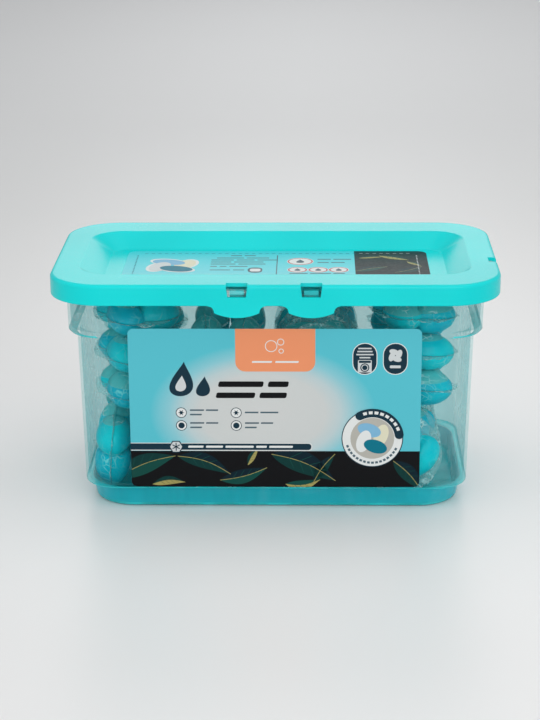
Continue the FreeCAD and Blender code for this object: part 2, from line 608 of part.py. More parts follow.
# Every pod also leans a little by itself and is turned by the golden angle from the one before.
podNodes = []
goldenTurn, leanStep, axisStep = 137.5, 2.4, 1.7
for number, (place, facing) in enumerate(lowTier + highTier, start=1):
    lean = value(s("podTilt")) * math.sin(number * leanStep)
    leanAxis = FreeCAD.Vector(math.cos(number * axisStep), math.sin(number * axisStep), 0)
    spin = FreeCAD.Rotation(FreeCAD.Vector(0, 0, 1), number * goldenTurn)
    pod = doc.addObject("Part::Feature", f"pod_{number:02d}")
    pod.Shape = podShape.Shape.copy()
    pod.Label = f"pod_{number:02d}"
    turned = facing * FreeCAD.Rotation(leanAxis, lean) * spin
    pod.Placement = FreeCAD.Placement(FreeCAD.Vector(*place), turned)
    podNodes.append(pod)

doc.recompute()
nodes = [tub, lid, frontLabel, topLabel] + podNodes
for item in doc.Objects:
    if "Invalid" in item.State or "Error" in item.State:
        raise RuntimeError(f"{item.Name} could not be worked out")
for node in nodes:
    if node.Shape.isNull() or not node.Shape.isValid():
        raise RuntimeError(f"{node.Label} has no sound shape")

os.makedirs("parts", exist_ok=True)
for node in nodes:
    node.Shape.exportStep(f"parts/{node.Label}.step")
print("lid", round(value(lidWidth), 2), round(value(lidDepth), 2), "height", round(value(lidTop), 2))
print("hinge axis", round(value(axisY), 3), round(value(axisZ), 3))
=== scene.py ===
import bmesh
import bpy
import math
import numpy as np
from mathutils import Matrix, Vector


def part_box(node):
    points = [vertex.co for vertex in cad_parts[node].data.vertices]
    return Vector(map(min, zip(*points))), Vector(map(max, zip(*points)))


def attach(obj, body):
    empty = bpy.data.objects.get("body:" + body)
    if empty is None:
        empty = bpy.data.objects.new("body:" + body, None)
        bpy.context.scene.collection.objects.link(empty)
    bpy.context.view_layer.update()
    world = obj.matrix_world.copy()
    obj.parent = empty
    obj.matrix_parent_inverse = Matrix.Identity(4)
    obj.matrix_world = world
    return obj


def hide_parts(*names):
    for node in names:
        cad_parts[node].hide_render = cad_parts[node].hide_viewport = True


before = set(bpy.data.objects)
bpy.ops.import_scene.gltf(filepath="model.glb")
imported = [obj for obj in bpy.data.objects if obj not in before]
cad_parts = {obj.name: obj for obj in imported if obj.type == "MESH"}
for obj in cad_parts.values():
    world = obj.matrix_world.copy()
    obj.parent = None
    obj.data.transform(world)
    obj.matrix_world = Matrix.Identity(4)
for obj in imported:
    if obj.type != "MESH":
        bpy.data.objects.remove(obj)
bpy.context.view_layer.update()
mm = 0.001
print("frame loaded")


# Colours and nodes

def linear(hexCode):
    # An sRGB hex value as the linear colour that a shader takes.
    shares = [int(hexCode[place:place + 2], 16) / 255 for place in (1, 3, 5)]
    return (*[share / 12.92 if share <= 0.04045 else ((share + 0.055) / 1.055) ** 2.4 for share in shares], 1)


def addNode(tree, kind, settings=None, values=None, links=None):
    node = tree.nodes.new(kind)
    for name, setting in (settings or {}).items():
        setattr(node, name, setting)
    for socket, value in (values or {}).items():
        node.inputs[socket].default_value = value
    for socket, source in (links or {}).items():
        tree.links.new(source, node.inputs[socket])
    return node


def newMaterial(name):
    material = bpy.data.materials.new(name)
    material.use_nodes = True
    material.node_tree.nodes.clear()
    return material, material.node_tree


def finishMaterial(tree, shader):
    addNode(tree, "ShaderNodeOutputMaterial", links={"Surface": shader.outputs[0]})


def grain(tree, size, detail=2.0, roughness=0.5, stretch=(1, 1, 1)):
    # Noise whose lumps are about this many metres across.
    place = addNode(tree, "ShaderNodeTexCoord")
    mapping = addNode(tree, "ShaderNodeMapping", values={"Scale": stretch},
                      links={"Vector": place.outputs["Object"]})
    return addNode(tree, "ShaderNodeTexNoise",
                   values={"Scale": 1 / size, "Detail": detail, "Roughness": roughness},
                   links={"Vector": mapping.outputs["Vector"]})


def spread(tree, source, low, high, fromLow=0.3, fromHigh=0.7):
    return addNode(tree, "ShaderNodeMapRange",
                   values={"From Min": fromLow, "From Max": fromHigh, "To Min": low, "To Max": high},
                   links={"Value": source})


def bump(tree, source, depth, strength=1.0):
    return addNode(tree, "ShaderNodeBump", values={"Strength": strength, "Distance": depth},
                   links={"Height": source})


def ramp(tree, source, stops):
    node = addNode(tree, "ShaderNodeValToRGB", links={"Fac": source})
    while len(node.color_ramp.elements) < len(stops):
        node.color_ramp.elements.new(0.5)
    for element, (place, hexCode) in zip(node.color_ramp.elements, stops):
        element.position = place
        element.color = linear(hexCode)
    return node


def creaseHighlights(tree, size, width, patch):
    # A mask for painted highlights: a net of thin bright fold lines that comes and goes in patches, 1 on a fold,
    # 0 between.
    place = addNode(tree, "ShaderNodeTexCoord")
    drift = grain(tree, size * 1.5, 2.0)
    bent = addNode(tree, "ShaderNodeVectorMath", settings={"operation": "MULTIPLY_ADD"},
                   values={1: (size, size, size)},
                   links={0: drift.outputs["Color"], 2: place.outputs["Object"]})
    net = addNode(tree, "ShaderNodeTexVoronoi", settings={"feature": "DISTANCE_TO_EDGE"},
                  values={"Scale": 1 / size}, links={"Vector": bent.outputs["Vector"]})
    line = spread(tree, net.outputs["Distance"], 1, 0, 0, width)
    where = spread(tree, grain(tree, patch, 2.0).outputs["Fac"], 0, 1, 0.48, 0.66)
    return addNode(tree, "ShaderNodeMath", settings={"operation": "MULTIPLY"},
                   links={0: line.outputs["Result"], 1: where.outputs["Result"]})


def lampsPass(tree, share):
    # Lamplight goes on through a thin clear skin, so a shadow ray meets none of it.
    path = addNode(tree, "ShaderNodeLightPath")
    return addNode(tree, "ShaderNodeMath", settings={"operation": "SUBTRACT", "use_clamp": True},
                   links={0: share, 1: path.outputs["Is Shadow Ray"]})


def finishClear(tree, share, shader, through):
    # A see-through skin: its own shader by this share, and clear plastic of this tint for the rest.
    clear = addNode(tree, "ShaderNodeBsdfTransparent", values={"Color": linear(through)})
    both = addNode(tree, "ShaderNodeMixShader",
                   links={0: share.outputs[0], 1: clear.outputs[0], 2: shader.outputs[0]})
    finishMaterial(tree, both)


# Materials

lidPlastic = {"colour": "#06d3d3", "deep": "#02cccd", "grain": 0.35 * mm, "flow": 40 * mm, "depth": 0.01 * mm}


def mouldedPolypropylene():
    # Polypropylene, injection moulded and opaque: an even satin skin, a soft broad highlight and a waxy depth.
    material, tree = newMaterial("mouldedPolypropylene")
    flow = grain(tree, lidPlastic["flow"], 1.0)
    colour = ramp(tree, flow.outputs["Fac"], [(0.35, lidPlastic["deep"]), (0.65, lidPlastic["colour"])])
    skin = grain(tree, lidPlastic["grain"], 3.0)
    shader = addNode(tree, "ShaderNodeBsdfPrincipled",
                     values={"IOR": 1.49, "Specular IOR Level": 0.2},
                     links={"Base Color": colour.outputs["Color"],
                            "Roughness": spread(tree, skin.outputs["Fac"], 0.2, 0.28).outputs["Result"],
                            "Normal": bump(tree, skin.outputs["Fac"], lidPlastic["depth"]).outputs["Normal"]})
    finishMaterial(tree, shader)
    return material


tubPlastic = {
    "clear": "#f3fbfb", "milk": [(0.0, "#19b4be"), (0.4, "#63cdd2"), (0.75, "#c4e8e7"), (1.0, "#e4f3f1")],
    # The foot colour is a painted reflection of the pods seen through the foot; the edge colour is a painted
    # highlight for steps, rounds and catches.
    "footPaintedReflection": "#00b9ca", "haze": 12 * mm, "streak": 3.0 * mm, "depth": 0.06 * mm, "edge": "#22d0d4",
    # The inner colour is a painted turquoise glow for the far inside wall.
    "inner": "#4ed6da", "farGlowShare": 0.35, "nearShare": 0.02, "footShare": 0.62,
}


def clearPolypropylene(footHeight):
    # Clarified polypropylene, injection moulded: see-through face on, milky where the wall is seen on edge.
    # The thick foot below the body is painted in the colour of what the tub holds: a painted reflection of the
    # pods seen through it.
    material, tree = newMaterial("clearPolypropylene")
    edgeOn = addNode(tree, "ShaderNodeLayerWeight", values={"Blend": 0.3})
    haze = grain(tree, tubPlastic["haze"], 2.0)
    streak = grain(tree, tubPlastic["streak"], 1.5, 0.5, (1, 1, 0.1))
    place = addNode(tree, "ShaderNodeTexCoord")
    split = addNode(tree, "ShaderNodeSeparateXYZ", links={0: place.outputs["Object"]})
    # Mask of the foot band, which takes the painted reflection of the pods.
    atFoot = spread(tree, split.outputs["Z"], 1, 0, footHeight - 0.5 * mm, footHeight + 0.3 * mm)
    milk = ramp(tree, edgeOn.outputs["Facing"], tubPlastic["milk"])
    colour = addNode(tree, "ShaderNodeMix", settings={"data_type": "RGBA"},
                     values={7: linear(tubPlastic["footPaintedReflection"])},
                     links={0: atFoot.outputs["Result"], 6: milk.outputs["Color"]})
    shader = addNode(tree, "ShaderNodeBsdfPrincipled", values={"IOR": 1.49},
                     links={"Base Color": colour.outputs[2],
                            "Roughness": spread(tree, haze.outputs["Fac"], 0.08, 0.18).outputs["Result"],
                            "Normal": bump(tree, streak.outputs["Fac"], tubPlastic["depth"]).outputs["Normal"]})
    share = spread(tree, edgeOn.outputs["Facing"], 0.05, 0.42, 0.15, 0.95)
    flow = spread(tree, streak.outputs["Fac"], 0.6, 1.6)
    veil = addNode(tree, "ShaderNodeMath", settings={"operation": "MULTIPLY"},
                   links={0: share.outputs["Result"], 1: flow.outputs["Result"]})
    side = addNode(tree, "ShaderNodeNewGeometry")
    facing = spread(tree, side.outputs["Backfacing"], 1, 0.35, 0, 1)
    outer = addNode(tree, "ShaderNodeMath", settings={"operation": "MULTIPLY"},
                    links={0: veil.outputs[0], 1: facing.outputs["Result"]})
    wall = lampsPass(tree, outer.outputs[0])
    wallAndFoot = addNode(tree, "ShaderNodeMath", settings={"operation": "MULTIPLY_ADD", "use_clamp": True},
                          values={1: tubPlastic["footShare"]},
                          links={0: atFoot.outputs["Result"], 2: wall.outputs[0]})
    finishClear(tree, wallAndFoot, shader, tubPlastic["clear"])
    return material


def polypropyleneInside():
    # The tub's inner skin. Its far side is painted turquoise, a painted glow of the full tub's colour; the near
    # side stays clear.
    material, tree = newMaterial("polypropyleneInside")
    haze = grain(tree, tubPlastic["haze"], 2.0)
    side = addNode(tree, "ShaderNodeNewGeometry")
    share = spread(tree, side.outputs["Backfacing"], tubPlastic["farGlowShare"], tubPlastic["nearShare"], 0, 1)
    shader = addNode(tree, "ShaderNodeBsdfPrincipled",
                     values={"Base Color": linear(tubPlastic["inner"]), "IOR": 1.49},
                     links={"Roughness": spread(tree, haze.outputs["Fac"], 0.2, 0.35).outputs["Result"]})
    finishClear(tree, lampsPass(tree, share.outputs["Result"]), shader, tubPlastic["clear"])
    return material


def polypropyleneEdgeHighlight():
    # The same clear plastic with a painted highlight where a step, round or catch gathers light: bright
    # turquoise with a glossy skin.
    material, tree = newMaterial("polypropyleneEdgeHighlight")
    haze = grain(tree, tubPlastic["haze"], 2.0)
    shader = addNode(tree, "ShaderNodeBsdfPrincipled",
                     values={"Base Color": linear(tubPlastic["edge"]), "IOR": 1.49},
                     links={"Roughness": spread(tree, haze.outputs["Fac"], 0.12, 0.25).outputs["Result"]})
    finishClear(tree, spread(tree, haze.outputs["Fac"], 0.5, 0.85), shader, tubPlastic["clear"])
    return material


gel = {
    "deep": ("#00bcd6", "#04cfe2"), "bright": ("#04d2e2", "#12e6ee"), "cloud": 11 * mm, "wrinkle": 1.8 * mm,
    # The fold colour is a painted highlight along the creases of the film.
    "depth": 0.3 * mm, "foldHighlight": "#a0f0f0", "foldSize": 4.2 * mm, "foldPatch": 12 * mm,
}


def detergentGel(name):
    # Dyed liquid detergent against its film: a bright body, painted pale highlights along fold lines and small
    # wet highlights.
    material, tree = newMaterial(f"detergentGel_{name}")
    cloud = grain(tree, gel["cloud"], 2.0)
    colour = ramp(tree, cloud.outputs["Fac"], [(0.35, gel[name][0]), (0.65, gel[name][1])])
    foldHighlight = creaseHighlights(tree, gel["foldSize"], 0.06, gel["foldPatch"])
    marked = addNode(tree, "ShaderNodeMix", settings={"data_type": "RGBA"}, values={7: linear(gel["foldHighlight"])},
                     links={0: foldHighlight.outputs[0], 6: colour.outputs["Color"]})
    wrinkle = grain(tree, gel["wrinkle"], 2.0, 0.55, (1, 1, 0.35))
    shader = addNode(tree, "ShaderNodeBsdfPrincipled",
                     values={"Roughness": 0.35, "IOR": 1.4, "Specular IOR Level": 0.2, "Coat Weight": 0.3,
                             "Coat Roughness": 0.08},
                     links={"Base Color": marked.outputs[2],
                            "Normal": bump(tree, wrinkle.outputs["Fac"], gel["depth"], 0.6).outputs["Normal"]})
    finishMaterial(tree, shader)
    return material


podFilm = {
    "colour": "#f2fbfa", "clear": "#f2fbfb", "airColour": "#7fecec", "airClear": "#e2f8f8",
    "crease": 2.4 * mm, "patch": 6 * mm, "depth": 0.5 * mm,
}


def waterSolubleFilm():
    # Polyvinyl alcohol film, thermoformed and sealed: clear and thin, with painted white highlights along its
    # folds.
    material, tree = newMaterial("waterSolubleFilm")
    foldHighlight = creaseHighlights(tree, podFilm["crease"], 0.16, podFilm["patch"])
    crinkle = grain(tree, podFilm["crease"], 3.0, 0.6)
    shader = addNode(tree, "ShaderNodeBsdfPrincipled",
                     values={"Base Color": linear(podFilm["colour"]), "Roughness": 0.15, "IOR": 1.5},
                     links={"Normal": bump(tree, crinkle.outputs["Fac"], podFilm["depth"]).outputs["Normal"]})
    share = spread(tree, foldHighlight.outputs[0], 0.2, 0.92, 0.0, 0.6)
    finishClear(tree, lampsPass(tree, share.outputs["Result"]), shader, podFilm["clear"])
    return material


def airPocketFilm():
    # The same film over the air above the liquid: a pale tinted skin that lets what is behind it show through,
    # with painted white highlights along its folds.
    material, tree = newMaterial("airPocketFilm")
    foldHighlight = creaseHighlights(tree, podFilm["crease"] * 1.6, 0.08, podFilm["patch"])
    crinkle = grain(tree, podFilm["crease"], 2.0, 0.5)
    tint = addNode(tree, "ShaderNodeMix", settings={"data_type": "RGBA"},
                   values={6: linear(podFilm["airColour"]), 7: linear(podFilm["colour"])},
                   links={0: foldHighlight.outputs[0]})
    shader = addNode(tree, "ShaderNodeBsdfPrincipled", values={"Roughness": 0.2, "IOR": 1.5},
                     links={"Base Color": tint.outputs[2],
                            "Normal": bump(tree, crinkle.outputs["Fac"], podFilm["depth"]).outputs["Normal"]})
    share = spread(tree, foldHighlight.outputs[0], 0.72, 0.97, 0.0, 0.8)
    finishClear(tree, lampsPass(tree, share.outputs["Result"]), shader, podFilm["airClear"])
    return material


printFinish = {"mottle": 1.2 * mm, "lift": 0.012 * mm, "film": 0.15 * mm}


def ink(name, hexCode):
    # Offset ink on plastic film under varnish: flat colour, with a faint mottle only in its shine.
    material, tree = newMaterial(f"printedInk_{name}")
    mottle = grain(tree, printFinish["mottle"], 2.0)
    shader = addNode(tree, "ShaderNodeBsdfPrincipled",
                     values={"Base Color": linear(hexCode), "IOR": 1.5, "Specular IOR Level": 0.1},
                     links={"Roughness": spread(tree, mottle.outputs["Fac"], 0.34, 0.42).outputs["Result"]})
    finishMaterial(tree, shader)
    return material


def printedFilm(name, middle, reach, stops):
    # Polypropylene label film, printed and varnished: smooth blends of colour under a thin even shine.
    material, tree = newMaterial(f"printedLabelFilm_{name}")
    place = addNode(tree, "ShaderNodeTexCoord")
    mapping = addNode(tree, "ShaderNodeMapping", settings={"vector_type": "TEXTURE"},
                      values={"Location": middle, "Scale": reach}, links={"Vector": place.outputs["Object"]})
    distance = addNode(tree, "ShaderNodeVectorMath", settings={"operation": "LENGTH"},
                       links={0: mapping.outputs["Vector"]})
    colour = ramp(tree, distance.outputs["Value"], stops)
    mottle = grain(tree, printFinish["mottle"], 2.0)
    shader = addNode(tree, "ShaderNodeBsdfPrincipled", values={"IOR": 1.5, "Specular IOR Level": 0.1},
                     links={"Base Color": colour.outputs["Color"],
                            "Roughness": spread(tree, mottle.outputs["Fac"], 0.34, 0.42).outputs["Result"]})
    finishMaterial(tree, shader)
    return material


# Meshes

def newPiece(name, points, faces, materials, faceMaterials, smooth):
    mesh = bpy.data.meshes.new(name)
    mesh.from_pydata([tuple(point) for point in points], [], [tuple(face) for face in faces])
    for material in materials:
        mesh.materials.append(material)
    mesh.polygons.foreach_set("material_index", np.array(faceMaterials, np.int32))
    mesh.polygons.foreach_set("use_smooth", np.full(len(mesh.polygons), smooth))
    mesh.update()
    piece = bpy.data.objects.new(name, mesh)
    bpy.context.scene.collection.objects.link(piece)
    return piece


def dress(node, material):
    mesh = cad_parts[node].data
    mesh.materials.clear()
    mesh.materials.append(material)


# Height bands and the catch corner that get the painted edge highlight.
tubForm = {
    "footHeight": 9.5 * mm, "edges": [(9.45 * mm, 10.5 * mm), (77.5 * mm, 78.6 * mm), (0.3 * mm, 2.0 * mm)],
    "catchBack": -46 * mm, "catchLow": 88 * mm,
}


def dressTub():
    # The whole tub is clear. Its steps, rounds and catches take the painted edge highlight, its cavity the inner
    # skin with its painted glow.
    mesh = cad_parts["tub"].data
    mesh.materials.clear()
    mesh.materials.append(clearPolypropylene(tubForm["footHeight"]))
    mesh.materials.append(polypropyleneEdgeHighlight())
    mesh.materials.append(polypropyleneInside())
    count = len(mesh.polygons)
    centres, normals = np.empty(count * 3, np.float32), np.empty(count * 3, np.float32)
    mesh.polygons.foreach_get("center", centres)
    mesh.polygons.foreach_get("normal", normals)
    heights, upward = centres[2::3], normals[2::3]
    outward = centres[0::3] * normals[0::3] + centres[1::3] * normals[1::3]
    picked = np.where((outward < 0) | ((upward > 0.9) & (heights < tubForm["footHeight"] / 2)), 2, 0)
    # Steps, rounds and catches get the painted edge highlight.
    for low, high in tubForm["edges"]:
        picked[(heights > low) & (heights < high) & (np.abs(upward) > 0.12)] = 1
    picked[(centres[1::3] < tubForm["catchBack"]) & (heights > tubForm["catchLow"])] = 1
    mesh.polygons.foreach_set("material_index", picked.astype(np.int32))
    mesh.update()


dress("lid", mouldedPolypropylene())
dressTub()
print("lid and tub dressed")


# Pods: each stands for a packed pod, with the same four chambers, sealed valleys and a thin puckered flange.

pod = {
    "diameter": 39.0, "thickness": 15.5, "chambers": 4,  # mm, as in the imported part
    "chamberLength": 11.6, "chamberWidth": 8.4, "chamberOffset": 8.0, "chamberSwirl": 52.0,
    "film": 0.14, "valleyDepth": 0.5, "valleyWidth": 1.1, "fill": (0.62, 0.86),
    "puckers": 30, "puckerDepth": 0.35, "wave": 0.55, "trim": 0.7,
    "spokes": 96, "fillRings": 14, "flangeRings": 4,
}


def chamberReach(x, y):
    # The elliptical distance of a point from each chamber's middle: 1 on the chamber's outline.
    reaches = []
    for index in range(pod["chambers"]):
        turn = math.tau * index / pod["chambers"]
        lean = turn + math.radians(pod["chamberSwirl"])
        dx = x - pod["chamberOffset"] * math.cos(turn)
        dy = y - pod["chamberOffset"] * math.sin(turn)
        along = dx * math.cos(lean) + dy * math.sin(lean)
        across = dy * math.cos(lean) - dx * math.sin(lean)
        reaches.append(np.hypot(along / pod["chamberLength"], across / pod["chamberWidth"]))
    return np.array(reaches)


def domeHeights(x, y):
    return pod["thickness"] / 2 * np.sqrt(np.clip(1 - chamberReach(x, y) ** 2, 0, None))


def outlineRadius(angles):
    # How far the chambers reach along each spoke.
    far = np.zeros_like(angles)
    for index in range(pod["chambers"]):
        turn = math.tau * index / pod["chambers"]
        lean = turn + math.radians(pod["chamberSwirl"])
        alongStep = np.cos(angles - lean) / pod["chamberLength"]
        acrossStep = np.sin(angles - lean) / pod["chamberWidth"]
        alongMiddle = pod["chamberOffset"] * math.cos(turn - lean) / pod["chamberLength"]
        acrossMiddle = pod["chamberOffset"] * math.sin(turn - lean) / pod["chamberWidth"]
        a = alongStep ** 2 + acrossStep ** 2
        b = alongStep * alongMiddle + acrossStep * acrossMiddle
        c = alongMiddle ** 2 + acrossMiddle ** 2 - 1
        far = np.maximum(far, (b + np.sqrt(np.clip(b * b - a * c, 0, None))) / a)
    return far


def fourfold(x, y, weights):
    return np.sum(weights * (x + 1j * y) ** pod["chambers"])


def podPlace(node):
    # The pod's middle, its flat side's normal and the turn of its chambers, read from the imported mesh.
    mesh = node.data
    corners = np.empty(len(mesh.vertices) * 3, np.float32)
    mesh.vertices.foreach_get("co", corners)
    corners = corners.reshape(-1, 3).astype(float) / mm
    mesh.calc_loop_triangles()
    triangles = np.empty(len(mesh.loop_triangles) * 3, np.int32)
    mesh.loop_triangles.foreach_get("vertices", triangles)
    a, b, c = (corners[triangles.reshape(-1, 3)[:, side]] for side in range(3))
    areas = np.linalg.norm(np.cross(b - a, c - a), axis=1) / 2
    centres = (a + b + c) / 3
    middle = (centres * areas[:, None]).sum(0) / areas.sum()
    away = centres - middle
    axes = np.linalg.eigh(away.T @ (away * areas[:, None]))[1]
    best = None
    for normal in (axes[:, 0], -axes[:, 0]):
        across = axes[:, 1]
        up = np.cross(normal, across)
        turn = np.angle(fourfold(away @ across, away @ up, areas) / podPhase) / pod["chambers"]
        spunAcross = across * math.cos(turn) + up * math.sin(turn)
        spunUp = up * math.cos(turn) - across * math.sin(turn)
        sample = corners[::37] - middle
        expected = domeHeights(sample @ spunAcross, sample @ spunUp).max(0)
        missed = np.abs(np.abs(sample @ normal) - expected).mean()
        if best is None or missed < best[0]:
            best = (missed, np.array([spunAcross, spunUp, normal]))
    return middle, best[1]


grid = np.arange(-pod["diameter"] / 2, pod["diameter"] / 2, 0.25)
gridX, gridY = np.meshgrid(grid, grid)
gridHeight = domeHeights(gridX, gridY).max(0)
slope = np.hypot(*np.gradient(gridHeight, 0.25))
podPhase = fourfold(gridX, gridY, np.sqrt(1 + slope ** 2) * (gridHeight > 0))
podPhase /= abs(podPhase)


def podSurface(rng):
    # One side of the pod as rings from the middle out to the trimmed edge: points, and a height for each.
    angles = np.arange(pod["spokes"]) * math.tau / pod["spokes"]
    edge = outlineRadius(angles)
    phases = rng.uniform(0, math.tau, 6)
    uneven = 0.5 + 0.5 * np.sin(3 * angles + phases[0]) * np.sin(7 * angles + phases[1])
    rim = pod["diameter"] / 2 - pod["trim"] * uneven
    rings = [edge * math.sin(math.pi / 2 * step / pod["fillRings"]) for step in range(1, pod["fillRings"] + 1)]
    rings += [edge + (rim - edge) * step / pod["flangeRings"] for step in range(1, pod["flangeRings"] + 1)]
    radii = np.array(rings)
    x, y = radii * np.cos(angles), radii * np.sin(angles)
    heights = np.sort(domeHeights(x, y), axis=0)
    top, second = heights[-1], heights[-2]
    valley = 1 - pod["valleyDepth"] * np.exp(-((top - second) / pod["valleyWidth"]) ** 2) * (second > 0)
    nearEdge = np.clip(radii / edge, 0, 1) ** 6
    folds = np.sin(pod["puckers"] * angles + 2.5 * np.sin(5 * angles + phases[2]) + phases[3])
    height = top * valley - pod["puckerDepth"] * nearEdge * np.clip(folds, 0, 1) * (top > 0)
    height = np.clip(height, 0, None) + pod["film"] / 2
    outward = np.clip((radii - edge) / (pod["diameter"] / 2 - edge), 0, 1)
    ripple = np.sin(5 * angles + phases[4]) + 0.5 * np.sin(13 * angles + phases[5]) + 0.3 * folds
    return x, y, height, pod["wave"] * outward * ripple


def fillTo(piece, level):
    # Above the liquid's level a chamber holds air, so its film goes pale there, with a straight edge.
    mesh = bmesh.new()
    mesh.from_mesh(piece.data)
    bmesh.ops.bisect_plane(mesh, geom=mesh.verts[:] + mesh.edges[:] + mesh.faces[:], dist=1e-6,
                           plane_co=(0, 0, level), plane_no=(0, 0, 1))
    for face in mesh.faces:
        if face.material_index < 4 and face.calc_center_median().z > level:
            face.material_index = 5
    mesh.to_mesh(piece.data)
    mesh.free()


def buildPod(name, node, seed, materials):
    rng = np.random.default_rng(seed)
    x, y, height, wave = podSurface(rng)
    rings, spokes = x.shape
    top = np.stack([x, y, height + wave], -1).reshape(-1, 3)
    low = np.stack([x, y, -height + wave], -1).reshape(-1, 3)
    middleHeight = domeHeights(np.zeros(1), np.zeros(1)).max() * (1 - pod["valleyDepth"])
    points = np.concatenate([[[0, 0, middleHeight], [0, 0, -middleHeight]], top, low])
    ring, spoke = np.meshgrid(np.arange(rings - 1), np.arange(spokes), indexing="ij")
    following = (spoke + 1) % spokes
    quads = np.stack([ring * spokes + spoke, (ring + 1) * spokes + spoke, (ring + 1) * spokes + following,
                      ring * spokes + following], -1).reshape(-1, 4) + 2
    count = rings * spokes
    rimRing = (rings - 1) * spokes + 2
    faces = [(0, 2 + index, 2 + (index + 1) % spokes) for index in range(spokes)]
    faces += [(1, 2 + count + (index + 1) % spokes, 2 + count + index) for index in range(spokes)]
    faces += quads.tolist() + (quads[:, ::-1] + count).tolist()
    faces += [(rimRing + index, rimRing + count + index, rimRing + count + (index + 1) % spokes,
               rimRing + (index + 1) % spokes) for index in range(spokes)]
    middles = np.array([points[list(face), :2].mean(0) for face in faces])
    chamber = chamberReach(middles[:, 0], middles[:, 1]).argmin(0)
    inside = np.hypot(*middles.T) < outlineRadius(np.arctan2(middles[:, 1], middles[:, 0]))
    place, axes = podPlace(node)
    piece = newPiece(name, (points @ axes + place) * mm, faces, materials, np.where(inside, chamber, 4), True)
    heights = [vertex.co.z for vertex in piece.data.vertices]
    high, low = max(heights), min(heights)
    fillTo(piece, low + (high - low) * rng.uniform(*pod["fill"]))
    return piece


podMaterials = [detergentGel(name) for name in ("deep", "bright", "deep", "bright")]
podMaterials += [waterSolubleFilm(), airPocketFilm()]
podNodes = sorted(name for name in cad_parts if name.startswith("pod_"))
for number, name in enumerate(podNodes):
    piece = buildPod(name.replace("pod_", "pouch_"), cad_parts[name], number + 1, podMaterials)
    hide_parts(name)
    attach(piece, "tub")
print("pods built:", len(podNodes))


# Printed labels. Every shape is a flat outline in mm from the label's lower left corner, with ink and layer.

inks = {
    "navy": "#14303e", "black": "#0b0c0f", "white": "#d9dcdb", "orange": "#e49067", "grey": "#aeaca4",
    "cream": "#d5d2b9", "teal": "#0a6f84", "sky": "#7aaecd", "pale": "#c6cbcc", "leaf": "#083432",
    "leafLight": "#0f453e", "leafBlue": "#07202a", "leafGold": "#9c9358", "red": "#b8656a", "slate": "#4d616b",
}


def arc(u, v, radius, start, end, steps):
    angles = [math.radians(start + (end - start) * step / steps) for step in range(steps + 1)]
    return [(u + radius * math.cos(angle), v + radius * math.sin(angle)) for angle in angles]


def disc(u, v, radius, steps=36):
    return arc(u, v, radius, 0, 360 - 360 / steps, steps - 1)


def box(u0, v0, u1, v1, radius=0.0, corners=(1, 1, 1, 1)):
    # A box whose corners go lower left, lower right, upper right, upper left.
    spots = [(u0, v0, 1, 1, 180), (u1, v0, -1, 1, 270), (u1, v1, -1, -1, 0), (u0, v1, 1, -1, 90)]
    points = []
    for (u, v, du, dv, start), share in zip(spots, corners):
        reach = radius * share
        points += arc(u + du * reach, v + dv * reach, reach, start, start + 90, 6) if reach else [(u, v)]
    return points


def band(u, v, inner, outer, start, end, steps=24, roundEnds=False):
    half, middle = (outer - inner) / 2, (outer + inner) / 2

    def roundEnd(at, first):
        angle = math.radians(at)
        return arc(u + middle * math.cos(angle), v + middle * math.sin(angle), half, first, first + 180, 8)[1:-1]

    points = arc(u, v, outer, start, end, steps)
    if roundEnds:
        points += roundEnd(end, end)
    points += arc(u, v, inner, end, start, steps)
    if roundEnds:
        points += roundEnd(start, start + 180)
    return points


def slanted(points, baseline, lean):
    return [(u + (v - baseline) * lean, v) for u, v in points]


def drop(u, v, radius, height):
    # A water drop: a round belly that runs up to a point.
    points = []
    for step in range(40):
        angle = math.tau * step / 40
        squeeze = math.sin(angle / 2) ** 1.6
        points.append((u + radius * 1.3 * math.sin(angle) * squeeze, v + height / 2 * (math.cos(angle) + 1)))
    return points


def clipTo(points, window):
    # The part of an outline that lies inside a window that bulges everywhere.
    for (au, av), (bu, bv) in zip(window, window[1:] + window[:1]):
        sides = [(bu - au) * (v - av) - (bv - av) * (u - au) for u, v in points]
        kept = []
        for index, (spot, side) in enumerate(zip(points, sides)):
            before, beforeSide = points[index - 1], sides[index - 1]
            if side * beforeSide < 0:
                share = beforeSide / (beforeSide - side)
                kept.append(tuple(start + (end - start) * share for start, end in zip(before, spot)))
            if side >= 0:
                kept.append(spot)
        points = kept
        if not points:
            break
    return points


def leaf(u, v, length, width, angle, bend, light, dark, window, layer):
    # Two halves about a bent rib, the rib itself and a few veins.
    turn = math.radians(angle)

    def at(along, across):
        x, y = along * length, bend * length * math.sin(math.pi * along) + across
        return (u + x * math.cos(turn) - y * math.sin(turn), v + x * math.sin(turn) + y * math.cos(turn))

    steps = [step / 20 for step in range(21)]
    rib = [at(share, 0) for share in steps]
    halfWidth = [width / 2 * math.sin(math.pi * share ** 0.85) for share in steps]
    upper = rib + [at(share, half) for share, half in zip(steps[-2:0:-1], halfWidth[-2:0:-1])]
    lower = [at(share, -half) for share, half in zip(steps[1:-1], halfWidth[1:-1])] + rib[::-1]
    lower = [rib[0]] + lower[:-1]
    line = [at(share, 0.13) for share in steps] + [at(share, -0.13) for share in steps[::-1]]
    shapes = [(dark, layer, upper[::-1]), (light, layer, lower), ("leafGold", layer + 1, line[::-1])]
    for share in (0.25, 0.4, 0.55, 0.7):
        for side in (1, -1):
            far = side * width * 0.42 * math.sin(math.pi * min(share + 0.12, 1) ** 0.85)
            vein = [at(share, 0), at(share + 0.13, far), at(share + 0.14, far), at(share + 0.015, 0)]
            shapes.append(("leafLight", layer + 1, vein if side < 0 else vein[::-1]))
    return [(name, level, clipTo(points, window)) for name, level, points in shapes]


